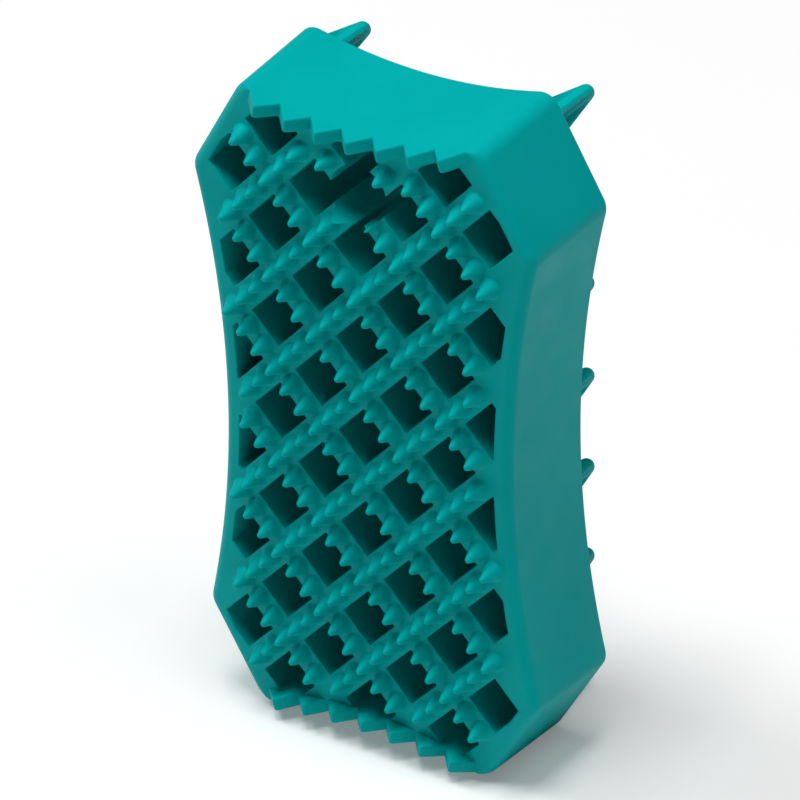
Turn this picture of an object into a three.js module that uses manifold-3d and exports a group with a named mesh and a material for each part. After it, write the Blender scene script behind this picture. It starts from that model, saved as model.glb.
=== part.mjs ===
// Two-sided rubber curry brush: a bow-tie wall around a diagonal rib lattice, small cone teeth and
// a saw-edged scraper lip at each end on the front, long grooming fingers on the back.
// Millimetres, +Z along the brush, -Y out of the toothed front, +X to the right of that front.
import * as THREE from 'three';
import { mergeVertices } from 'three/addons/utils/BufferGeometryUtils.js';
import Module from 'manifold-3d';

const wasm = await Module();
wasm.setup();

// ---- driving dimensions -------------------------------------------------------------------
const HALF_WIDTH_WAIST = 29.9;     // outer wall, middle of the long side
const HALF_WIDTH_SHOULDER = 35.25; // outer wall, where the long side meets the corner face
const SHOULDER_HEIGHT = 45.0;      // height of that corner above the middle of the brush
const HALF_WIDTH_END = 24.4;       // where the corner face meets the short end
const END_HEIGHT = 63.6;           // height of that corner above the middle of the brush
const END_HOLLOW = 3.2;            // how far the short end dips in at its middle
const BODY_DEPTH = 22.8;           // front rim to back rim
const BACK_SPREAD = 0.024;         // the back rim is this much larger than the front rim
const WALL = 2.7;                  // outer wall thickness
const WAIST_WALL = 3.2;            // the same in the middle of the long side
const GAP = 0.3;                   // clearance between neighbouring solids

const HALF_DIAMOND_X = 8.84;      // half of a lattice cell's diagonal, across the brush
const HALF_DIAMOND_Z = 9.43;      // half of a lattice cell's diagonal, along the brush
const RIB_WIDTH = 5.0;
const RIB_COUNT = 8;              // long ribs, numbered from the upper left corner
const LATTICE_SHIFT = 0.25;       // the lattice sits this much above the middle of the wall
// Crossings stand at whole (along, across) numbers: along climbs to the right, across falls to it.
const MIDDLE_SUM = 3;             // along + across of the crossings on the upright middle line
const MIDDLE_DIFFERENCE = 4;      // across - along of the crossings on the level middle line
const FIRST_ALONG = -5;
const LAST_ALONG = 4;

const TEETH_PER_CELL = 3;
const TOOTH_HEIGHT = 4.0;
const TOOTH_BASE_RADIUS = 1.9;
const TOOTH_TIP_RADIUS = 0.45;
const TOOTH_ROOT = 0.4;           // how far a tooth is sunk into its rib
const TOOTH_SIDES = 6;
const TOOTH_INSET = 5.2;          // no tooth is centred nearer to the outline, apart from these:
const SIDE_TEETH = [[-1, 1], [-3, 3], [0, 6]];
const TOOTH_IN_HOLE = 0.9;        // teeth centred at most this far inside the hole are cut by it

const LIP_TEETH = 7;
const LIP_PITCH = 6.25;
const LIP_TOOTH_HEIGHT = 3.5;
const LIP_BASE = 1.5;             // solid strip under the lip's teeth
const LIP_TIP_FLAT = 0.5;

const HOLE_RADIUS = 5.75;         // hanging hole through the lattice
const HOLE_HEIGHT = 48.35;
const HOLE_SIDES = 24;
const HOLE_ALONG = 2;             // the hole takes out the crossing (2, 1)
const HOLE_ACROSS = 1;

const FINGER_TIP_Y = 38.0;        // outermost point of the back fingers
const FINGER_BASE_RADIUS = 3.3;
const FINGER_TIP_RADIUS = 1.5;
const FINGER_SIDES = 8;
const FINGER_ROWS = 6;            // above the middle row, and as many below it
const FINGER_RISE = 1.3;          // the fingers sit this much above the rib crossings
const OUTER_COLUMN_X = 23.1;      // edge fingers stand in from the wall

const CURVE_STEPS = 12;
const BEYOND = 10;                // how far cutting forms reach past what they cut

const rubber = (shade) => new THREE.MeshStandardMaterial({
  color: new THREE.Color(shade), roughness: 0.55, metalness: 0.0,
});
const WALL_COLOUR = '#008f8c';
const RIB_COLOUR = '#008a86';
const LIP_COLOUR = '#009c99';
const FINGER_COLOUR = '#00918d';

// The brush is modelled about the middle of its front rim, then set down on its lower end.
const brush = new THREE.Group();

// ---- helpers ------------------------------------------------------------------------------
function addNode(name, geometry, colour) {
  const mesh = new THREE.Mesh(geometry, rubber(colour));
  mesh.name = name;
  brush.add(mesh);
}

function toSolid(geometry) {
  const bare = geometry.clone();
  bare.deleteAttribute('normal');
  bare.deleteAttribute('uv');
  const merged = mergeVertices(bare, 1e-4);
  return new wasm.Manifold(new wasm.Mesh({
    numProp: 3,
    vertProperties: new Float32Array(merged.attributes.position.array),
    triVerts: new Uint32Array(merged.index.array),
  }));
}

function toGeometry(solid) {
  const mesh = solid.getMesh();
  const geometry = new THREE.BufferGeometry();
  geometry.setAttribute('position', new THREE.BufferAttribute(mesh.vertProperties, 3));
  geometry.setIndex(new THREE.BufferAttribute(mesh.triVerts, 1));
  return geometry;
}

// A plan outline (x across, z along the brush) made solid from y = front to y = back.
function extrudeDepth(points, front, back) {
  const shape = new THREE.Shape(points);
  const geometry = new THREE.ExtrudeGeometry(shape, { depth: back - front, bevelEnabled: false });
  return geometry.rotateX(Math.PI / 2).translate(0, back, 0);
}

// The wall leans out towards the back.
function spreadToBack(geometry) {
  const position = geometry.attributes.position;
  for (let i = 0; i < position.count; i += 1) {
    const grow = 1 + BACK_SPREAD * position.getY(i) / BODY_DEPTH;
    position.setX(i, position.getX(i) * grow);
    position.setZ(i, position.getZ(i) * grow);
  }
  return geometry;
}

function block(centre, size, tilt = 0) {
  return new THREE.BoxGeometry(...size).rotateY(tilt).translate(...centre);
}

// ---- plan outline: one quarter, mirrored ----------------------------------------------------
// Corner points of the outline moved in by an inset, with both neighbouring edges kept parallel.
function outlineCorners(inset) {
  const sideSlope = 2 * (HALF_WIDTH_SHOULDER - HALF_WIDTH_WAIST) / SHOULDER_HEIGHT;
  const endSlope = 2 * END_HOLLOW / HALF_WIDTH_END;
  const sideNormal = new THREE.Vector2(1, -sideSlope).normalize();
  const faceNormal = new THREE.Vector2(
    END_HEIGHT - SHOULDER_HEIGHT, HALF_WIDTH_SHOULDER - HALF_WIDTH_END).normalize();
  const endNormal = new THREE.Vector2(-endSlope, 1).normalize();
  const moved = (corner, a, b) => corner.clone().addScaledVector(
    a.clone().add(b), -inset / (1 + a.dot(b)));
  return {
    waist: HALF_WIDTH_WAIST - inset * WAIST_WALL / WALL,
    shoulder: moved(new THREE.Vector2(HALF_WIDTH_SHOULDER, SHOULDER_HEIGHT), sideNormal, faceNormal),
    end: moved(new THREE.Vector2(HALF_WIDTH_END, END_HEIGHT), faceNormal, endNormal),
    endMiddle: END_HEIGHT - END_HOLLOW - inset,
  };
}

function sideCurve(inset) {
  const { waist, shoulder } = outlineCorners(inset);
  return new THREE.QuadraticBezierCurve(new THREE.Vector2(shoulder.x, -shoulder.y),
    new THREE.Vector2(2 * waist - shoulder.x, 0), shoulder);
}

function faceLine(inset) {
  const { shoulder, end } = outlineCorners(inset);
  return new THREE.LineCurve(shoulder, end);
}

function endCurve(inset) {
  const { end, endMiddle } = outlineCorners(inset);
  return new THREE.QuadraticBezierCurve(end,
    new THREE.Vector2(0, 2 * endMiddle - end.y), new THREE.Vector2(-end.x, end.y));
}

function trimmedPoints(curve, steps) {
  const trim = GAP / 2 / curve.getLength();
  return Array.from({ length: steps + 1 },
    (_, i) => curve.getPoint(trim + (1 - 2 * trim) * i / steps));
}

function closedOutline(inset) {
  const right = [...sideCurve(inset).getPoints(CURVE_STEPS), ...endCurve(inset).getPoints(CURVE_STEPS)];
  return [...right, ...right.map((p) => new THREE.Vector2(-p.x, -p.y))];
}

const mirrored = (points, sx, sz) => points.map((p) => new THREE.Vector2(p.x * sx, p.y * sz));

// ---- outer wall ---------------------------------------------------------------------------
function wallPiece(curveAt, steps, sx, sz) {
  const outer = trimmedPoints(curveAt(0), steps);
  const inner = trimmedPoints(curveAt(WALL), steps).reverse();
  const points = mirrored([...outer, ...inner], sx, sz);
  return spreadToBack(extrudeDepth(points, 0, BODY_DEPTH));
}

function addWalls() {
  addNode('right_side_wall', wallPiece(sideCurve, CURVE_STEPS, 1, 1), WALL_COLOUR);
  addNode('left_side_wall', wallPiece(sideCurve, CURVE_STEPS, -1, 1), WALL_COLOUR);
  for (const [rowName, sz] of [['upper', 1], ['lower', -1]]) {
    for (const [sideName, sx] of [['right', 1], ['left', -1]]) {
      addNode(`${rowName}_${sideName}_corner_wall`, wallPiece(faceLine, 1, sx, sz), WALL_COLOUR);
    }
  }
}

// ---- short ends and their saw-edged scraper lips -------------------------------------------
const LIP_HALF = LIP_TEETH * LIP_PITCH / 2;

function addEnd(rowName, sz) {
  const wall = toSolid(wallPiece(endCurve, CURVE_STEPS, 1, sz));
  const seat = toSolid(block([0, LIP_BASE / 2, sz * END_HEIGHT],
    [2 * LIP_HALF + 2 * GAP, LIP_BASE + 2 * GAP, 2 * BEYOND]));
  addNode(`${rowName}_end_wall`, toGeometry(wall.subtract(seat)), WALL_COLOUR);
  addNode(`${rowName}_scraper_lip`, lipGeometry(sz), LIP_COLOUR);
}

function lipGeometry(sz) {
  const outline = [new THREE.Vector2(LIP_HALF, LIP_BASE)];
  for (let i = LIP_TEETH; i >= 0; i -= 1) {
    outline.push(new THREE.Vector2(-LIP_HALF + i * LIP_PITCH, LIP_BASE));
  }
  for (let i = 0; i < LIP_TEETH; i += 1) {
    const start = -LIP_HALF + i * LIP_PITCH;
    outline.push(new THREE.Vector2(start, 0));
    outline.push(new THREE.Vector2(start + (LIP_PITCH - LIP_TIP_FLAT) / 2, -LIP_TOOTH_HEIGHT));
    outline.push(new THREE.Vector2(start + (LIP_PITCH + LIP_TIP_FLAT) / 2, -LIP_TOOTH_HEIGHT));
  }
  outline.push(new THREE.Vector2(LIP_HALF, 0));
  outline.shift();
  const geometry = new THREE.ExtrudeGeometry(new THREE.Shape(outline),
    { depth: WALL, bevelEnabled: false });
  const position = geometry.attributes.position;
  for (let i = 0; i < position.count; i += 1) {
    const dip = END_HOLLOW * ((position.getX(i) / HALF_WIDTH_END) ** 2 - 1);
    position.setZ(i, END_HEIGHT - WALL + dip + position.getZ(i));
  }
  return sz > 0 ? geometry : geometry.rotateY(Math.PI);
}

// ---- rib lattice ---------------------------------------------------------------------------
const RIB_ANGLE = Math.atan2(HALF_DIAMOND_Z, HALF_DIAMOND_X);
const CELL = Math.hypot(HALF_DIAMOND_X, HALF_DIAMOND_Z);
const HALF_RIB = RIB_WIDTH / 2 / (CELL * Math.sin(2 * RIB_ANGLE)); // in cells
const RIB_GAP = GAP / (CELL * Math.sin(2 * RIB_ANGLE));            // in cells

function latticePoint(along, across) {
  return new THREE.Vector2((along + across - MIDDLE_SUM) * HALF_DIAMOND_X,
    (along - across + MIDDLE_DIFFERENCE) * HALF_DIAMOND_Z + LATTICE_SHIFT);
}

const hollowOutline = closedOutline(WALL + GAP);
const hollow = toSolid(extrudeDepth(hollowOutline, -BEYOND, BODY_DEPTH + BEYOND));
const toothOutline = closedOutline(TOOTH_INSET);
const hangingHole = toSolid(new THREE.CylinderGeometry(
  HOLE_RADIUS, HOLE_RADIUS, 2 * (BODY_DEPTH + BEYOND), HOLE_SIDES).translate(0, 0, HOLE_HEIGHT));

function isInside(point, outline) {
  let inside = false;
  outline.forEach((a, i) => {
    const b = outline[(i + 1) % outline.length];
    const crosses = (a.y > point.y) !== (b.y > point.y);
    if (crosses && point.x < a.x + (b.x - a.x) * (point.y - a.y) / (b.y - a.y)) inside = !inside;
  });
  return inside;
}

const crossingInside = (along, across) => isInside(latticePoint(along, across), hollowOutline);

// A straight rib between two lattice points; slope 1 climbs to the right, -1 falls.
function ribSolid(from, to, slope) {
  const a = latticePoint(...from);
  const b = latticePoint(...to);
  const size = [a.distanceTo(b), BODY_DEPTH, RIB_WIDTH];
  return toSolid(block([(a.x + b.x) / 2, BODY_DEPTH / 2, (a.y + b.y) / 2], size, -slope * RIB_ANGLE));
}

function toothSolid(along, across) {
  const place = latticePoint(along, across);
  const height = TOOTH_HEIGHT + TOOTH_ROOT;
  return toSolid(new THREE.CylinderGeometry(TOOTH_BASE_RADIUS, TOOTH_TIP_RADIUS, height, TOOTH_SIDES)
    .translate(place.x, TOOTH_ROOT - height / 2, place.y));
}

function holdsTooth([along, across]) {
  const p = latticePoint(along, across);
  const fromHole = Math.hypot(p.x, p.y - HOLE_HEIGHT);
  const atSide = SIDE_TEETH.some(([a, b]) => a === along && b === across);
  return (atSide || isInside(p, toothOutline)) && fromHole > HOLE_RADIUS - TOOTH_IN_HOLE;
}

function longRibTeeth(across) {
  const places = [];
  for (let i = FIRST_ALONG * TEETH_PER_CELL; i <= LAST_ALONG * TEETH_PER_CELL; i += 1) {
    places.push([i / TEETH_PER_CELL, across]);
  }
  return places;
}

function crossRibTeeth(along, across) {
  const places = [];
  for (let i = 1; i < TEETH_PER_CELL; i += 1) {
    places.push([along, across + i / TEETH_PER_CELL]);
  }
  return places;
}

// The short rib below the crossing (along, across) ends just short of the next long rib.
function shortRib(along, across) {
  return ribSolid([along, across], [along, across + 1 - HALF_RIB - RIB_GAP], -1);
}

// At the wall a short rib has no long rib above it, so it stands on the one below.
function edgeRib(along, across) {
  return ribSolid([along, across - 1 + HALF_RIB + RIB_GAP], [along, across], -1);
}

// One long rib with the short ribs that belong to it, trimmed to the wall, with its teeth.
function comb(across) {
  let solid = ribSolid([FIRST_ALONG, across], [LAST_ALONG, across], 1);
  const teeth = longRibTeeth(across);
  for (let along = FIRST_ALONG; along <= LAST_ALONG; along += 1) {
    const onHole = along === HOLE_ALONG && across === HOLE_ACROSS;
    if (crossingInside(along, across) && !onHole) {
      solid = solid.add(shortRib(along, across));
      teeth.push(...crossRibTeeth(along, across));
      if (!crossingInside(along, across - 1)) {
        solid = solid.add(edgeRib(along, across));
        teeth.push(...crossRibTeeth(along, across - 1));
      }
    }
  }
  return finishRib(solid, teeth);
}

function finishRib(solid, teeth) {
  const toothed = teeth.filter(holdsTooth)
    .reduce((whole, place) => whole.add(toothSolid(...place)), solid);
  return toothed.intersect(hollow).subtract(hangingHole);
}

function addCombs() {
  const width = HALF_WIDTH_SHOULDER + BEYOND;
  const size = [width, 2 * (BODY_DEPTH + BEYOND), 2 * (END_HEIGHT + BEYOND)];
  for (let across = 0; across < RIB_COUNT; across += 1) {
    const name = `toothed_rib_${across + 1}`;
    if (across !== HOLE_ACROSS) {
      addNode(name, toGeometry(comb(across)), RIB_COLOUR);
    } else {
      for (const [side, sx] of [['left', -1], ['right', 1]]) {
        const part = toSolid(block([sx * width / 2, 0, 0], size));
        addNode(`${name}_${side}`, toGeometry(comb(across).intersect(part)), RIB_COLOUR);
      }
    }
  }
  const belowHole = finishRib(shortRib(HOLE_ALONG, HOLE_ACROSS), crossRibTeeth(HOLE_ALONG, HOLE_ACROSS));
  addNode('short_rib_below_hole', toGeometry(belowHole), RIB_COLOUR);
}

// ---- long fingers on the back ---------------------------------------------------------------
const INNER_COLUMN_X = 2 * HALF_DIAMOND_X;

function fingerGeometry(x, z) {
  const foot = BODY_DEPTH + GAP;
  return new THREE.CylinderGeometry(
    FINGER_TIP_RADIUS, FINGER_BASE_RADIUS, FINGER_TIP_Y - foot, FINGER_SIDES)
    .translate(x, (FINGER_TIP_Y + foot) / 2, z);
}

// Rows are counted from the middle of the brush; they alternate between two staggered layouts.
function fingerColumns(row) {
  if (Math.abs(row) === FINGER_ROWS) return [-OUTER_COLUMN_X, OUTER_COLUMN_X];
  if (row % 2 === 0) return [-OUTER_COLUMN_X, -HALF_DIAMOND_X, HALF_DIAMOND_X, OUTER_COLUMN_X];
  if (Math.abs(row) === FINGER_ROWS - 1) return [-INNER_COLUMN_X, INNER_COLUMN_X];
  return [-INNER_COLUMN_X, 0, INNER_COLUMN_X];
}

function addFingers() {
  for (let row = FINGER_ROWS; row >= -FINGER_ROWS; row -= 1) {
    const number = FINGER_ROWS + 1 - row;
    const z = row * HALF_DIAMOND_Z + LATTICE_SHIFT + FINGER_RISE;
    fingerColumns(row).forEach((x, i) => {
      addNode(`back_finger_${number}_${i + 1}`, fingerGeometry(x, z), FINGER_COLOUR);
    });
  }
}

// The lowest points are the back corners of the lower end; the depth is centred on the origin.
const lowest = trimmedPoints(endCurve(0), CURVE_STEPS)[0].y * (1 + BACK_SPREAD);
brush.position.set(0, -(FINGER_TIP_Y - TOOTH_HEIGHT) / 2, lowest);

addWalls();
addEnd('upper', 1);
addEnd('lower', -1);
addCombs();
addFingers();

export default brush;
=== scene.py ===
"""Two-sided rubber curry brush: one teal moulding with a bow-tie wall around a diagonal rib lattice.

The front carries small cone teeth and a saw-edged scraper lip at each end, the back long fluted fingers.
Plan sizes are in millimetres about the middle of the front rim, x across, z along the brush and y into it.
"""
import math

import bmesh
import bpy
from mathutils import Matrix, Vector
from mathutils.geometry import delaunay_2d_cdt


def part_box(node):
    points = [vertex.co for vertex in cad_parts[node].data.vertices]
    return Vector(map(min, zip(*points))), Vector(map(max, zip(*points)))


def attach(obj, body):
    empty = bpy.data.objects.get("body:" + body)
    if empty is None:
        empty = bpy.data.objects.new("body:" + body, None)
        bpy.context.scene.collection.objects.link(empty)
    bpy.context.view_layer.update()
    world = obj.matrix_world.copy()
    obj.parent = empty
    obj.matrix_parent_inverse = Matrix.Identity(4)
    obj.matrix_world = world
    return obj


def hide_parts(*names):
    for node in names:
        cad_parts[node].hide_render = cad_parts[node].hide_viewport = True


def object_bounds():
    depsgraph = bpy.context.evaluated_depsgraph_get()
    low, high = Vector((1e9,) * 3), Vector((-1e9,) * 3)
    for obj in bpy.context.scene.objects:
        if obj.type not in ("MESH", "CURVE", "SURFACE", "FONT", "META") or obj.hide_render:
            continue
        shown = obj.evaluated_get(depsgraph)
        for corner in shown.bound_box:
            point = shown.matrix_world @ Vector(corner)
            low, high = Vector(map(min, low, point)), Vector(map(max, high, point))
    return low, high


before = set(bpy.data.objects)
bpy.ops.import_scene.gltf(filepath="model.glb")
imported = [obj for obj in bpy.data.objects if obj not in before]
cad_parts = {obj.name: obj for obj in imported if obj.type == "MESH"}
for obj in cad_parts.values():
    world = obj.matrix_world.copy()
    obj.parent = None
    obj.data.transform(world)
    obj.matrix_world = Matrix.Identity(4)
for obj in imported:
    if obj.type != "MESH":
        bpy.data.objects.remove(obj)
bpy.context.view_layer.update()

MM = 0.001

# ---- plan of the wall ----------------------------------------------------------------------
HALF_WIDTH_WAIST = 29.9
HALF_WIDTH_SHOULDER = 35.25
SHOULDER_HEIGHT = 45.0
HALF_WIDTH_END = 24.4
END_HEIGHT = 63.6
END_HOLLOW = 3.2        # the short ends dip in at their middle
BACK_SPREAD = 0.024     # the back rim is this much larger than the front rim
SHOULDER_FILLET = 3.8
END_FILLET = 3.3
WALL = 2.7
WAIST_WALL = 3.2        # the long sides are thicker at their middle

# ---- section through the wall --------------------------------------------------------------
RIM_RADIUS = 1.8        # outer edge of the front rim
LIP_EDGE_RADIUS = 0.5   # edges of the scraper lips
BACK_RADIUS = 0.5
SUPPORT = 0.05          # a narrow strip beside each rounded edge keeps the flats flat
END_FACING = 0.8        # the outline faces a short end where its normal's z is above this
WELD = 0.004            # points this near to each other become one

# ---- scraper lips --------------------------------------------------------------------------
LIP_TEETH = 7
LIP_PITCH = 6.25
LIP_SLOPE = 1.217
LIP_TIP_ROUNDING = 0.3
LIP_HALF = LIP_TEETH * LIP_PITCH / 2

# ---- lattice -------------------------------------------------------------------------------
HALF_DIAMOND_X = 8.84
HALF_DIAMOND_Z = 9.43
RIB_WIDTH = 5.0
RIB_COUNT = 8
FIRST_ALONG = -5
LAST_ALONG = 4
MIDDLE_SUM = 3          # along + across of the crossings on the upright middle line
MIDDLE_DIFFERENCE = 4   # across - along of the crossings on the level middle line
LATTICE_SHIFT = 0.25    # the lattice sits this much above the middle of the wall
CELL_EDGE_RADIUS = 0.22
CELL_CORNER_RADIUS = 0.2
SMALLEST_CELL = 1.5     # square millimetres; smaller corners are solid
CORNER_TURN = math.radians(15)
CORNER_SHARE = 0.42     # a rounded corner takes at most this much of the shorter side
ARC_STEP = math.radians(30)
SAME_POINT = 0.01
HOLLOW_SPACING = 1.2    # distances between the plan points of each kind of loop
CELL_SPACING = 0.5
HOLE_SPACING = 0.45
LIMIT_SPACING = 0.5
HOLE_RADIUS = 5.75
HOLE_HEIGHT = 48.35
HOLE_SIDES = 48

# ---- front teeth ---------------------------------------------------------------------------
TEETH_PER_CELL = 3
TOOTH_HEIGHT = 4.0
TOOTH_FOOT_RADIUS = 2.25
TOOTH_FLANK_RADIUS = 1.9
TOOTH_TIP_RADIUS = 0.6
TOOTH_ROOT = 0.25
TOOTH_FOOT_Y = -0.45    # the flank ends here, and then flares out:
TOOTH_FLARE = ((0.22, -0.24), (0.5, -0.1))    # (share of the flare, y)
TOOTH_FOOT_SUNK = 0.01
TOOTH_SEGMENTS = 28
TOOTH_ANGLES = [i * math.tau / TOOTH_SEGMENTS for i in range(TOOTH_SEGMENTS)]
TOOTH_INSET = 5.2       # no tooth is centred nearer to the outline, apart from these:
SIDE_TEETH = [(-1, 1), (-3, 3), (0, 6)]
TOOTH_IN_HOLE = 0.9     # teeth centred at most this far inside the hole are cut by it

# ---- back fingers --------------------------------------------------------------------------
FINGER_TIP_Y = 38.0
FINGER_BASE_RADIUS = 3.9
FINGER_TIP_RADIUS = 1.5
FIN_HALF_THICKNESS = 0.5
FIN_SIDE_ANGLES = (0, 4.5, 7, 9.5, 13, 18, 25, 34)
FINGER_RINGS = 10
FINGER_ROOT = 0.8
FINGER_ROWS = 6         # on either side of the middle row
FINGER_RISE = 1.3       # the fingers sit this much above the rib crossings
OUTER_COLUMN_X = 23.1

# ---- where the CAD model stands --------------------------------------------------------------
side_low, side_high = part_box("left_side_wall")
FRONT_Y = side_low.y
MIDDLE_Z = (side_low.z + side_high.z) / 2
DEPTH = (side_high.y - side_low.y) / MM


def place(x, y, z):
    """A point in millimetres about the middle of the front rim, in the row frame."""
    return Vector((x * MM, FRONT_Y + y * MM, MIDDLE_Z + z * MM))


def spread_place(x, y, z):
    """The same, on the outer wall, which leans out towards the back."""
    grow = 1 + BACK_SPREAD * y / DEPTH
    return place(x * grow, y, z * grow)


# ---- plan outline --------------------------------------------------------------------------
def side_point(z):
    bow = (HALF_WIDTH_SHOULDER - HALF_WIDTH_WAIST) / SHOULDER_HEIGHT**2
    slope = 2 * bow * z
    return Vector((HALF_WIDTH_WAIST + bow * z * z, z)), Vector((slope, 1)).normalized()


def end_point(x):
    bow = END_HOLLOW / HALF_WIDTH_END**2
    slope = 2 * bow * x
    return Vector((x, END_HEIGHT - END_HOLLOW + bow * x * x)), Vector((-1, -slope)).normalized()


def outward(direction):
    return Vector((direction.y, -direction.x))


def rounded_corner(p0, d0, p1, d1, radius, steps):
    """Points and normals between p0 and p1 on a curve that leaves along d0 and arrives along d1."""
    handle = 4 / 3 * math.tan(d0.angle(d1) / 4) * radius
    a, b = p0 + d0 * handle, p1 - d1 * handle
    found = []
    for i in range(1, steps):
        t = i / steps
        u = 1 - t
        point = p0 * u**3 + a * (3 * u * u * t) + b * (3 * u * t * t) + p1 * t**3
        along = (a - p0) * (u * u) + (b - a) * (2 * u * t) + (p1 - b) * (t * t)
        found.append((point, outward(along.normalized())))
    return found


def lip_stations():
    """x of the samples along half a lip, from its end to the middle of the brush."""
    half = LIP_PITCH / 2
    from_tip = [0, 0.12, 0.25, 0.4, 0.6, 1.2, 1.9, 2.5, 3.0, half]
    stations = []
    for tooth in range(LIP_TEETH // 2 + 1):
        tip = LIP_HALF - half - tooth * LIP_PITCH
        stations += [tip + u for u in reversed(from_tip)]
        if tooth < LIP_TEETH // 2:
            stations += [tip - u for u in from_tip[1:-1]]
    return stations


def quarter_outline():
    """Points and outward normals from the right waist to the middle of the upper end."""
    side_steps, face_steps, corner_steps = 20, 4, 8
    shoulder = Vector((HALF_WIDTH_SHOULDER, SHOULDER_HEIGHT))
    end = Vector((HALF_WIDTH_END, END_HEIGHT))
    face = (end - shoulder).normalized()
    _, side_end = side_point(SHOULDER_HEIGHT)
    _, end_start = end_point(HALF_WIDTH_END)
    shoulder_trim = SHOULDER_FILLET * math.tan(side_end.angle(face) / 2)
    end_trim = END_FILLET * math.tan(face.angle(end_start) / 2)
    samples = []
    side_stop = SHOULDER_HEIGHT - shoulder_trim * side_end.y
    for i in range(side_steps + 1):
        point, along = side_point(side_stop * i / side_steps)
        samples.append((point, outward(along)))
    face_from, face_to = shoulder + face * shoulder_trim, end - face * end_trim
    point, along = side_point(side_stop)
    samples += rounded_corner(point, along, face_from, face, SHOULDER_FILLET, corner_steps)
    for i in range(face_steps + 1):
        samples.append((face_from.lerp(face_to, i / face_steps), outward(face)))
    point, along = end_point(HALF_WIDTH_END + end_start.x * end_trim)
    samples += rounded_corner(face_to, face, point, along, END_FILLET, corner_steps)
    samples.append((point, outward(along)))
    for x in lip_stations():
        point, along = end_point(x)
        samples.append((point, outward(along)))
    return samples


def full_outline():
    """Points and outward normals all round, counter-clockwise in x and z."""
    quarter = quarter_outline()

    def mirrored(sx, sz):
        return [(Vector((p.x * sx, p.y * sz)), Vector((n.x * sx, n.y * sz))) for p, n in quarter]

    upper_left = mirrored(-1, 1)[::-1]
    lower_left = mirrored(-1, -1)
    lower_right = mirrored(1, -1)[::-1]
    return quarter[:-1] + upper_left[:-1] + lower_left[:-1] + lower_right[:-1]


def wall_thickness(point):
    share = max(0, 1 - abs(point.y) / SHOULDER_HEIGHT)
    return WALL + (WAIST_WALL - WALL) * share ** 0.5


def lip_height(x):
    """How far the scraper lip stands out at x."""
    if abs(x) >= LIP_HALF:
        return 0
    from_tip = (x + LIP_HALF) % LIP_PITCH - LIP_PITCH / 2
    return max(0, LIP_SLOPE * (LIP_PITCH / 2 - math.hypot(from_tip, LIP_TIP_ROUNDING)))


def rim_radius(point):
    """The rim's outer edge is well rounded, and gets crisp along the lips."""
    if abs(point.y) < SHOULDER_HEIGHT:
        return RIM_RADIUS
    share = (abs(point.x) - LIP_HALF) / (HALF_WIDTH_END + 1 - LIP_HALF)
    share = max(0, min(1, share))
    return LIP_EDGE_RADIUS + (RIM_RADIUS - LIP_EDGE_RADIUS) * share * share * (3 - 2 * share)


# ---- wall skin with the lips ---------------------------------------------------------------
def quarter_turn(steps):
    return [i / steps * math.pi / 2 for i in range(steps + 1)]


def wall_section(radius, lip):
    """(inset, y) from the back rim, over the outer skin and the front rim, to the front plane."""
    section = [(BACK_RADIUS + SUPPORT, DEPTH)]
    for a in quarter_turn(4):
        section.append((BACK_RADIUS * (1 - math.sin(a)), DEPTH - BACK_RADIUS * (1 - math.cos(a))))
    skin_from, skin_to = DEPTH - BACK_RADIUS - SUPPORT, radius - lip + SUPPORT
    section += [(0, skin_from), (0, (skin_from + skin_to) / 2), (0, skin_to)]
    for a in quarter_turn(6):
        section.append((radius * (1 - math.cos(a)), radius * (1 - math.sin(a)) - lip))
    section.append((radius + SUPPORT, -lip))
    thickness = WALL - 2 * SUPPORT
    inner = thickness - LIP_EDGE_RADIUS
    section.append((inner - SUPPORT, -lip))
    for a in quarter_turn(4):
        y = min(0, LIP_EDGE_RADIUS * (1 - math.cos(a)) - lip)
        section.append((inner + LIP_EDGE_RADIUS * math.sin(a), y))
    section.append((thickness, min(0, LIP_EDGE_RADIUS + SUPPORT - lip)))
    section += [(thickness, 0), (thickness + SUPPORT, 0)]
    return section


def add_grid(bm, rows):
    """Faces between neighbouring rows of points, closed round the rows."""
    made = [[bm.verts.new(p) for p in row] for row in rows]
    for i, row in enumerate(made):
        following = made[(i + 1) % len(made)]
        for j in range(len(row) - 1):
            bm.faces.new((row[j], row[j + 1], following[j + 1], following[j]))


def add_wall(bm, outline):
    """The outer skin. Gives the plan loops where the front and back planes start."""
    rows, front, back = [], [], []
    for point, normal in outline:
        section = wall_section(rim_radius(point), lip_height(point.x) if abs(normal.y) > END_FACING else 0)
        row = []
        for inset, y in section:
            plan = point - normal * inset
            row.append(spread_place(plan.x, y, plan.y))
        rows.append(row)
        front.append(point - normal * section[-1][0])
        back.append((point - normal * section[0][0]) * (1 + BACK_SPREAD))
    add_grid(bm, rows)
    return front, back


# ---- lattice cells -------------------------------------------------------------------------
def lattice_point(along, across):
    return Vector(((along + across - MIDDLE_SUM) * HALF_DIAMOND_X,
                   (along - across + MIDDLE_DIFFERENCE) * HALF_DIAMOND_Z + LATTICE_SHIFT))


def lattice_place(point):
    """(along, across) of a plan point."""
    x = point.x / HALF_DIAMOND_X + MIDDLE_SUM
    z = (point.y - LATTICE_SHIFT) / HALF_DIAMOND_Z - MIDDLE_DIFFERENCE
    return Vector(((x + z) / 2, (x - z) / 2))


def clipped(polygon, axis, limit, sign):
    """The part of a polygon where sign * (coordinate - limit) is positive."""
    kept = []
    for a, b in zip(polygon, polygon[1:] + polygon[:1]):
        da, db = sign * (a[axis] - limit), sign * (b[axis] - limit)
        if da >= 0:
            kept.append(a)
        if (da > 0) != (db > 0) and da != db:
            kept.append(a.lerp(b, da / (da - db)))
    return kept


def area(polygon):
    pairs = zip(polygon, polygon[1:] + polygon[:1])
    return sum(a.x * b.y - b.x * a.y for a, b in pairs) / 2


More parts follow.
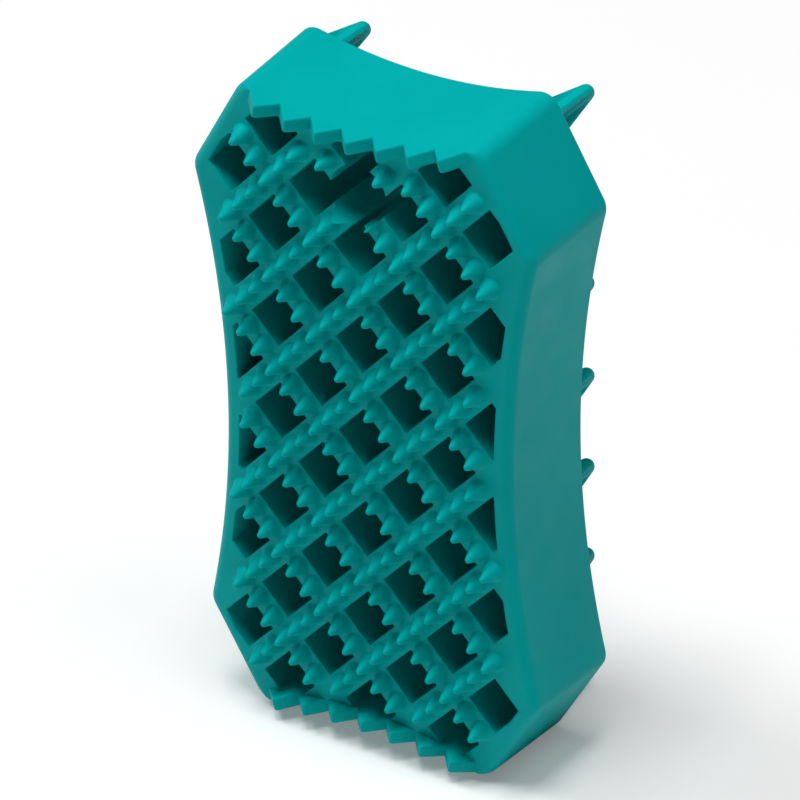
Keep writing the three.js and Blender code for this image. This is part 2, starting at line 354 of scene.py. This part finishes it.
def turning(before, corner, after):
    d0, d1 = corner - before, after - corner
    return math.atan2(d0.x * d1.y - d0.y * d1.x, d0.dot(d1))


def thinned(polygon, spacing):
    """Drops points that crowd the one before."""
    kept = []
    for point in polygon:
        if not kept or (point - kept[-1]).length > spacing:
            kept.append(point)
    while len(kept) > 3 and (kept[0] - kept[-1]).length <= spacing:
        kept.pop()
    return kept


def cleared(polygon, spacing):
    """Keeps the real corners, and drops the other points near them."""
    polygon = thinned(polygon, SAME_POINT)
    turns = [turning(polygon[i - 2], polygon[i - 1], polygon[i]) for i in range(len(polygon))]
    corners = [polygon[i - 1] for i, turn in enumerate(turns) if abs(turn) > CORNER_TURN]
    return [p for p in polygon if p in corners or all((p - c).length > spacing for c in corners)]


def lattice_cells(hollow):
    """The plan polygons between the ribs, inside the wall."""
    crossing_angle = 2 * math.atan2(HALF_DIAMOND_Z, HALF_DIAMOND_X)
    cell = math.hypot(HALF_DIAMOND_X, HALF_DIAMOND_Z)
    half_rib = RIB_WIDTH / 2 / (cell * math.sin(crossing_angle))
    inside = [lattice_place(p) for p in hollow]
    cells = []
    for along in range(FIRST_ALONG - 2, LAST_ALONG + 2):
        for across in range(-2, RIB_COUNT + 1):
            polygon = inside
            for axis, start in ((0, along), (1, across)):
                polygon = clipped(polygon, axis, start + half_rib, 1)
                polygon = clipped(polygon, axis, start + 1 - half_rib, -1)
            plan = cleared([lattice_point(*p) for p in polygon], CELL_SPACING)
            if len(plan) > 2 and abs(area(plan)) > SMALLEST_CELL:
                cells.append(plan if area(plan) > 0 else plan[::-1])
    return cells


def distance_to(polygon, centre):
    found = []
    for a, b in zip(polygon, polygon[1:] + polygon[:1]):
        share = max(0, min(1, (centre - a).dot(b - a) / (b - a).length_squared))
        found.append((a.lerp(b, share) - centre).length)
    return min(found)


def union_outline(polygons):
    """The outline of overlapping polygons that together have no hole."""
    points, faces = [], []
    for polygon in polygons:
        faces.append(list(range(len(points), len(points) + len(polygon))))
        points += polygon
    verts, _, triangles, *_ = delaunay_2d_cdt(points, [], faces, 1, 1e-6)
    edges = {(t[i], t[i - 2]) for t in triangles for i in range(3)}
    following = {a: b for a, b in edges if (b, a) not in edges}
    start = min(following)
    loop = [start]
    while following[loop[-1]] != start:
        loop.append(following[loop[-1]])
    return [verts[i] for i in loop]


def smooth_loop(polygon, radius):
    """(point, outward normal) round a polygon, with the corners of the hollow rounded."""
    samples = []
    count = len(polygon)
    for i, corner in enumerate(polygon):
        before, after = polygon[i - 1], polygon[(i + 1) % count]
        d0, d1 = (corner - before).normalized(), (after - corner).normalized()
        turn = turning(before, corner, after)
        n0, n1 = outward(d0), outward(d1)
        if turn < CORNER_TURN:
            samples.append((corner, (n0 + n1).normalized() / math.cos(turn / 2)))
            continue
        most = CORNER_SHARE * min((corner - before).length, (after - corner).length)
        trim = min(radius * math.tan(turn / 2), most)
        arc_radius = trim / math.tan(turn / 2)
        centre = corner - d0 * trim - n0 * arc_radius
        samples.append((corner - d0 * (trim + SUPPORT), n0))
        steps = max(2, math.ceil(turn / ARC_STEP))
        for step in range(steps + 1):
            normal = Matrix.Rotation(turn * step / steps, 2) @ n0
            samples.append((centre + normal * arc_radius, normal))
        samples.append((corner + d1 * (trim + SUPPORT), n1))
    return samples


def cell_section():
    """(growth, y) down a cell's side, from the front plane to the back plane."""
    front = [(CELL_EDGE_RADIUS + SUPPORT, 0)]
    for a in quarter_turn(3):
        front.append((CELL_EDGE_RADIUS * (1 - math.sin(a)), CELL_EDGE_RADIUS * (1 - math.cos(a))))
    front.append((0, CELL_EDGE_RADIUS + SUPPORT))
    return front + [(growth, DEPTH - y) for growth, y in reversed(front)]


def add_cell(bm, samples):
    section = cell_section()
    add_grid(bm, [[place(p.x + n.x * g, y, p.y + n.y * g) for g, y in section] for p, n in samples])
    growth = section[0][0]
    return [p + n * growth for p, n in samples]


def add_plane(bm, boundary, holes, y):
    """A flat face with holes at depth y."""
    points, faces = [], []
    for loop in [boundary, *holes]:
        faces.append(list(range(len(points), len(points) + len(loop))))
        points += loop
    verts, _, triangles, _, _, owners = delaunay_2d_cdt(points, [], faces, 1, 1e-7)
    made = [bm.verts.new(place(p.x, y, p.y)) for p in verts]
    for triangle, owner in zip(triangles, owners):
        if owner == [0]:
            bm.faces.new([made[i] for i in triangle])


def body_mesh():
    """Walls, lips and lattice as one closed skin."""
    bm = bmesh.new()
    outline = full_outline()
    front, back = add_wall(bm, outline)
    hollow = thinned([p - n * wall_thickness(p) for p, n in outline], HOLLOW_SPACING)
    cells = lattice_cells(hollow)
    centre = Vector((0, HOLE_HEIGHT))
    circle = [centre + Vector((math.cos(a), math.sin(a))) * HOLE_RADIUS
              for a in (i * math.tau / HOLE_SIDES for i in range(HOLE_SIDES))]
    cut = [c for c in cells if distance_to(c, centre) < HOLE_RADIUS]
    whole = [c for c in cells if c not in cut]
    loops = [*whole, cleared(union_outline([circle, *cut]), HOLE_SPACING)]
    holes = [add_cell(bm, smooth_loop(loop, CELL_CORNER_RADIUS)) for loop in loops]
    add_plane(bm, front, holes, 0)
    add_plane(bm, back, holes, DEPTH)
    return bm


# ---- teeth ---------------------------------------------------------------------------------
def tooth_profile():
    """(radius, y) from the tip to the root."""
    cone = math.atan2(TOOTH_FLANK_RADIUS - TOOTH_TIP_RADIUS, TOOTH_HEIGHT - TOOTH_TIP_RADIUS)
    tip_centre = TOOTH_TIP_RADIUS - TOOTH_HEIGHT
    profile = []
    tip_steps = 5
    for i in range(tip_steps + 1):
        a = (math.pi / 2 - cone) * i / tip_steps
        profile.append((TOOTH_TIP_RADIUS * math.sin(a), tip_centre - TOOTH_TIP_RADIUS * math.cos(a)))
    top_radius, top_y = profile[-1]
    flank = top_radius + (TOOTH_FOOT_Y - top_y) * math.tan(cone)
    profile += [((top_radius + flank) / 2, (top_y + TOOTH_FOOT_Y) / 2), (flank, TOOTH_FOOT_Y)]
    flare = TOOTH_FOOT_RADIUS - flank
    profile += [(flank + flare * share, y) for share, y in TOOTH_FLARE]
    profile += [(TOOTH_FOOT_RADIUS, TOOTH_FOOT_SUNK), (TOOTH_FOOT_RADIUS, TOOTH_ROOT)]
    return profile


def add_turned(bm, x, z, profile, angles, reshape=None):
    """A closed turned form round the line (x, z), from a profile of (radius, y) that starts on the axis."""
    rings = []
    segments = len(angles)
    for radius, y in profile[1:]:
        ring = []
        for a in angles:
            r = reshape(a, radius) if reshape else radius
            ring.append(bm.verts.new(place(x + r * math.cos(a), y, z + r * math.sin(a))))
        rings.append(ring)
    tip = bm.verts.new(place(x, profile[0][1], z))
    for i in range(segments):
        j = (i + 1) % segments
        bm.faces.new((tip, rings[0][j], rings[0][i]))
        for near, far in zip(rings, rings[1:]):
            bm.faces.new((near[i], near[j], far[j], far[i]))
    bm.faces.new(rings[-1])


def is_inside(point, polygon):
    inside = False
    for a, b in zip(polygon, polygon[1:] + polygon[:1]):
        if (a.y > point.y) != (b.y > point.y):
            if point.x < a.x + (b.x - a.x) * (point.y - a.y) / (b.y - a.y):
                inside = not inside
    return inside


def distance_to_hole(point):
    return (point - Vector((0, HOLE_HEIGHT))).length - HOLE_RADIUS


def tooth_places(across, allowed):
    """Plan points of one long rib's teeth and of the short ribs below it."""
    found = []
    for i in range(FIRST_ALONG * TEETH_PER_CELL, (LAST_ALONG + 1) * TEETH_PER_CELL):
        found.append(lattice_point(i / TEETH_PER_CELL, across))
    for along in range(FIRST_ALONG, LAST_ALONG + 1):
        for i in range(1, TEETH_PER_CELL):
            found.append(lattice_point(along, across + i / TEETH_PER_CELL))
            if across == 0:
                found.append(lattice_point(along, across - i / TEETH_PER_CELL))
    at_side = [lattice_point(a, b) for a, b in SIDE_TEETH if b == across]
    inside = [p for p in found if is_inside(p, allowed)] + at_side
    return [p for p in inside if distance_to_hole(p) > -TOOTH_IN_HOLE]


# ---- fingers -------------------------------------------------------------------------------
def finger_profile():
    """(radius, y) from the tip to the root."""
    centre_y = FINGER_TIP_Y - FINGER_TIP_RADIUS
    profile = []
    tip_steps = 7
    lean = math.atan2(FINGER_BASE_RADIUS - FINGER_TIP_RADIUS, centre_y - DEPTH)
    for i in range(tip_steps + 1):
        a = (math.pi / 2 - lean) * i / tip_steps
        profile.append((FINGER_TIP_RADIUS * math.sin(a), centre_y + FINGER_TIP_RADIUS * math.cos(a)))
    top_radius, top_y = profile[-1]
    for i in range(1, FINGER_RINGS + 1):
        share = i / FINGER_RINGS
        profile.append((top_radius + (FINGER_BASE_RADIUS - top_radius) * share,
                        top_y + (DEPTH - top_y) * share))
    profile.append((FINGER_BASE_RADIUS, DEPTH - FINGER_ROOT))
    return profile


def finger_angles():
    """Angles round a finger, close together beside the four fins on the diagonals."""
    angles = []
    for quarter in range(4):
        fin = math.radians(45 + 90 * quarter)
        sides = [math.radians(a) for a in FIN_SIDE_ANGLES]
        angles += [fin - a for a in reversed(sides[1:])] + [fin + a for a in sides]
        angles.append(fin + math.radians(45))
    return angles


def finned(angle, radius):
    """Four thin fins on a round core as thick as the tip; the hollows between them run out at the tip."""
    off_fin = abs((angle % (math.pi / 2)) - math.pi / 4)
    if off_fin * radius < FIN_HALF_THICKNESS:
        return radius
    return min(radius, max(FINGER_TIP_RADIUS, FIN_HALF_THICKNESS / math.sin(off_fin)))


def finger_columns(row):
    """x of the fingers in a row; the rows alternate between two staggered layouts."""
    if abs(row) == FINGER_ROWS:
        return [-OUTER_COLUMN_X, OUTER_COLUMN_X]
    if row % 2 == 0:
        return [-OUTER_COLUMN_X, -HALF_DIAMOND_X, HALF_DIAMOND_X, OUTER_COLUMN_X]
    if abs(row) == FINGER_ROWS - 1:
        return [-2 * HALF_DIAMOND_X, 2 * HALF_DIAMOND_X]
    return [-2 * HALF_DIAMOND_X, 0, 2 * HALF_DIAMOND_X]


# ---- material ------------------------------------------------------------------------------
RUBBER_DARK = (0.0005, 0.43, 0.43)
RUBBER_LIGHT = (0.001, 0.47, 0.47)
RUBBER_FLECK = (0.004, 0.5, 0.5)
RUBBER_SHEEN = (0.05, 0.9, 0.9, 1)
FLOOR_DARK = (0.9, 0.9, 0.9)
FLOOR_LIGHT = (0.92, 0.92, 0.92)


class Nodes:
    """Short calls for building a node tree."""

    def __init__(self, tree):
        self.tree = tree

    def add(self, kind, **settings):
        node = self.tree.nodes.new(kind)
        for name, value in settings.items():
            setattr(node, name, value)
        return node

    def link(self, out, socket):
        self.tree.links.new(out, socket)

    def noise(self, coordinates, scale, detail=4, roughness=0.55):
        node = self.add("ShaderNodeTexNoise")
        node.inputs["Scale"].default_value = scale
        node.inputs["Detail"].default_value = detail
        node.inputs["Roughness"].default_value = roughness
        self.link(coordinates, node.inputs["Vector"])
        return node.outputs["Fac"]

    def ramp(self, fac, low, high, start=0.3, stop=0.7):
        node = self.add("ShaderNodeMapRange")
        node.inputs["From Min"].default_value = start
        node.inputs["From Max"].default_value = stop
        node.inputs["To Min"].default_value = low
        node.inputs["To Max"].default_value = high
        self.link(fac, node.inputs["Value"])
        return node.outputs["Result"]

    def mix_colour(self, fac, a, b):
        node = self.add("ShaderNodeMix", data_type="RGBA")
        self.link(fac, node.inputs["Factor"])
        for value, socket in ((a, node.inputs["A"]), (b, node.inputs["B"])):
            if isinstance(value, tuple):
                socket.default_value = (*value, 1)
            else:
                self.link(value, socket)
        return node.outputs["Result"]

    def bump(self, height, strength, distance, under=None):
        node = self.add("ShaderNodeBump")
        node.inputs["Strength"].default_value = strength
        node.inputs["Distance"].default_value = distance
        self.link(height, node.inputs["Height"])
        if under is not None:
            self.link(under, node.inputs["Normal"])
        return node.outputs["Normal"]


def rubber_material():
    """Matte moulded rubber: a fine grain, faint flow marks and a slightly uneven sheen."""
    material = bpy.data.materials.new("teal_rubber")
    material.use_nodes = True
    tree = material.node_tree
    n = Nodes(tree)
    shader = tree.nodes["Principled BSDF"]
    coordinates = n.add("ShaderNodeTexCoord").outputs["Object"]
    clouds = n.noise(coordinates, 45)
    flecks = n.noise(coordinates, 900, detail=2)
    grain = n.noise(coordinates, 5200, detail=2)
    waves = n.noise(coordinates, 160, detail=1)
    base = n.mix_colour(n.ramp(clouds, 0, 1), RUBBER_DARK, RUBBER_LIGHT)
    speckled = n.mix_colour(n.ramp(flecks, 0, 0.25, 0.55, 0.8), base, RUBBER_FLECK)
    n.link(speckled, shader.inputs["Base Color"])
    n.link(n.ramp(waves, 0.40, 0.52), shader.inputs["Roughness"])
    soft = n.bump(waves, 0.15, 0.0001)
    n.link(n.bump(grain, 0.12, 0.00004, soft), shader.inputs["Normal"])
    shader.inputs["IOR"].default_value = 1.45
    shader.inputs["Specular IOR Level"].default_value = 0.15
    shader.inputs["Specular Tint"].default_value = RUBBER_SHEEN
    return material


def floor_material():
    material = bpy.data.materials.new("pale_floor")
    material.use_nodes = True
    tree = material.node_tree
    n = Nodes(tree)
    shader = tree.nodes["Principled BSDF"]
    coordinates = n.add("ShaderNodeTexCoord").outputs["Object"]
    clouds = n.noise(coordinates, 3)
    n.link(n.mix_colour(clouds, FLOOR_DARK, FLOOR_LIGHT), shader.inputs["Base Color"])
    n.link(n.ramp(clouds, 0.75, 0.85), shader.inputs["Roughness"])
    shader.inputs["Emission Color"].default_value = (1, 1, 1, 1)
    seen = n.add("ShaderNodeLightPath").outputs["Is Camera Ray"]
    n.link(n.ramp(seen, 0, FLOOR_GLOW, 0, 1), shader.inputs["Emission Strength"])
    return material


# ---- pieces --------------------------------------------------------------------------------
CREASE = math.radians(42)


def hole_cutter():
    """The hanging hole's cylinder, for the teeth that it cuts."""
    bm = bmesh.new()
    rings = []
    for y in (-2 * TOOTH_HEIGHT, 2 * TOOTH_HEIGHT):
        ring = []
        for i in range(HOLE_SIDES):
            angle = i * math.tau / HOLE_SIDES
            ring.append(bm.verts.new(place(HOLE_RADIUS * math.cos(angle), y,
                                           HOLE_HEIGHT + HOLE_RADIUS * math.sin(angle))))
        rings.append(ring)
    for i in range(HOLE_SIDES):
        bm.faces.new((rings[0][i - 1], rings[0][i], rings[1][i], rings[1][i - 1]))
    bm.faces.new(rings[0])
    bm.faces.new(rings[1])
    bmesh.ops.recalc_face_normals(bm, faces=bm.faces)
    mesh = bpy.data.meshes.new("hole_cutter")
    bm.to_mesh(mesh)
    bm.free()
    return bpy.data.objects.new("hole_cutter", mesh)


def cut_by_hole(piece):
    """Takes the hanging hole out of a piece's mesh, and leaves no cutter behind."""
    cutter = hole_cutter()
    scene = bpy.context.scene
    scene.collection.objects.link(cutter)
    modifier = piece.modifiers.new("hole", "BOOLEAN")
    modifier.operation = "DIFFERENCE"
    modifier.solver = "EXACT"
    modifier.object = cutter
    graph = bpy.context.evaluated_depsgraph_get()
    mesh = bpy.data.meshes.new_from_object(piece.evaluated_get(graph))
    piece.modifiers.clear()
    piece.data = mesh
    bpy.data.objects.remove(cutter)


def finished_piece(name, bm, material, nodes):
    """Welds the mesh, turns its faces outward and puts it on the frame in place of its CAD nodes."""
    bmesh.ops.remove_doubles(bm, verts=bm.verts, dist=WELD * MM)
    bmesh.ops.recalc_face_normals(bm, faces=bm.faces)
    mesh = bpy.data.meshes.new(name)
    bm.to_mesh(mesh)
    bm.free()
    mesh.shade_smooth()
    mesh.set_sharp_from_angle(angle=CREASE)
    mesh.materials.append(material)
    piece = bpy.data.objects.new(name, mesh)
    bpy.context.scene.collection.objects.link(piece)
    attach(piece, "root")
    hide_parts(*nodes)
    return piece


def make_brush(material):
    rib_nodes = [f"toothed_rib_{i + 1}" for i in range(RIB_COUNT)]
    names = sorted(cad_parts)
    body_nodes = [n for n in names if n.endswith(("_wall", "_lip")) or n.startswith("short_rib")]
    finished_piece("wall_and_lattice", body_mesh(), material, body_nodes)
    outline = full_outline()
    allowed = thinned([p - n * TOOTH_INSET for p, n in outline], LIMIT_SPACING)
    profile = tooth_profile()
    for across, rib in enumerate(rib_nodes):
        bm = bmesh.new()
        places = tooth_places(across, allowed)
        for p in places:
            add_turned(bm, p.x, p.y, profile, TOOTH_ANGLES)
        nodes = [n for n in names if n.startswith(rib)]
        piece = finished_piece(f"front_teeth_{across + 1}", bm, material, nodes)
        if any(distance_to_hole(p) < TOOTH_FOOT_RADIUS for p in places):
            cut_by_hole(piece)
    profile, angles = finger_profile(), finger_angles()
    for row in range(FINGER_ROWS, -FINGER_ROWS - 1, -1):
        number = FINGER_ROWS + 1 - row
        bm = bmesh.new()
        for x in finger_columns(row):
            z = row * HALF_DIAMOND_Z + LATTICE_SHIFT + FINGER_RISE
            add_turned(bm, x, z, profile, angles, finned)
        nodes = [n for n in names if n.startswith(f"back_finger_{number}_")]
        finished_piece(f"back_fingers_{number}", bm, material, nodes)


# ---- stage, light and camera ---------------------------------------------------------------
AMBIENT = 0.02          # light from all round
BACKDROP = 0.95         # how bright the studio looks behind the floor
FLOOR_GLOW = 0.2        # lifts the floor towards white, and lights nothing else
FLOOR_REACH = 4         # metres from the middle of the floor to its edge
FLOOR_SEGMENTS = 8
LAMP_DISTANCE = 3.0
LAMPS = (               # name, azimuth, elevation, size, power
    ("overhead", 0, 83, 1.2, 53),
    ("left", -75, 57, 0.9, 29),
    ("right", 88, 67, 0.9, 9.5),
)
CAMERA_AZIMUTH = math.radians(33.909)
CAMERA_ELEVATION = math.radians(30.728)
CAMERA_ROLL = math.radians(-1.219)
CAMERA_DISTANCE = 958.5
CAMERA_LENS = 246.7
CAMERA_SENSOR = 36
CAMERA_NEAR = 0.05
CAMERA_FAR = 20
AIM = (3.48, 6.3, 5.75)     # the camera looks at this place


def make_floor(height):
    bm = bmesh.new()
    bmesh.ops.create_grid(bm, x_segments=FLOOR_SEGMENTS, y_segments=FLOOR_SEGMENTS, size=FLOOR_REACH)
    mesh = bpy.data.meshes.new("floor")
    bm.to_mesh(mesh)
    bm.free()
    mesh.materials.append(floor_material())
    floor = bpy.data.objects.new("floor", mesh)
    floor.location.z = height
    bpy.context.scene.collection.objects.link(floor)


def add_softbox(name, azimuth, elevation, size, power):
    """A square area light that faces the brush; azimuth 0 stands before the front, 90 to the right."""
    target = place(0, 0, 0)
    a, e = math.radians(azimuth), math.radians(elevation)
    towards = Vector((math.sin(a) * math.cos(e), -math.cos(a) * math.cos(e), math.sin(e)))
    light = bpy.data.lights.new(name, "AREA")
    light.size = size
    light.energy = power
    lamp = bpy.data.objects.new(name, light)
    lamp.location = target + towards * LAMP_DISTANCE
    lamp.rotation_mode = "QUATERNION"
    lamp.rotation_quaternion = towards.to_track_quat("Z", "Y")
    bpy.context.scene.collection.objects.link(lamp)


def make_lights():
    for lamp in LAMPS:
        add_softbox(*lamp)
    world = bpy.data.worlds.new("studio")
    world.use_nodes = True
    n = Nodes(world.node_tree)
    background = world.node_tree.nodes["Background"]
    background.inputs["Color"].default_value = (1, 1, 1, 1)
    seen = n.add("ShaderNodeLightPath").outputs["Is Camera Ray"]
    n.link(n.ramp(seen, AMBIENT, BACKDROP, 0, 1), background.inputs["Strength"])
    bpy.context.scene.world = world


def make_camera():
    back = Vector((math.sin(CAMERA_AZIMUTH) * math.cos(CAMERA_ELEVATION),
                   -math.cos(CAMERA_AZIMUTH) * math.cos(CAMERA_ELEVATION), math.sin(CAMERA_ELEVATION)))
    level = Vector((math.cos(CAMERA_AZIMUTH), math.sin(CAMERA_AZIMUTH), 0))
    right = Matrix.Rotation(CAMERA_ROLL, 3, back) @ level
    up = back.cross(right)
    camera = bpy.data.objects.new("camera", bpy.data.cameras.new("camera"))
    camera.data.sensor_width = CAMERA_SENSOR
    camera.data.lens = CAMERA_LENS
    camera.data.clip_start = CAMERA_NEAR
    camera.data.clip_end = CAMERA_FAR
    stand = place(*AIM) + back * (CAMERA_DISTANCE * MM)
    turned = Matrix((right, up, back)).transposed().to_4x4()
    camera.matrix_world = Matrix.Translation(stand) @ turned
    bpy.context.scene.collection.objects.link(camera)
    bpy.context.scene.camera = camera


make_brush(rubber_material())
visual_low, visual_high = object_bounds()
make_floor(visual_low.z)
make_lights()
make_camera()
bpy.context.scene.view_settings.view_transform = "Standard"
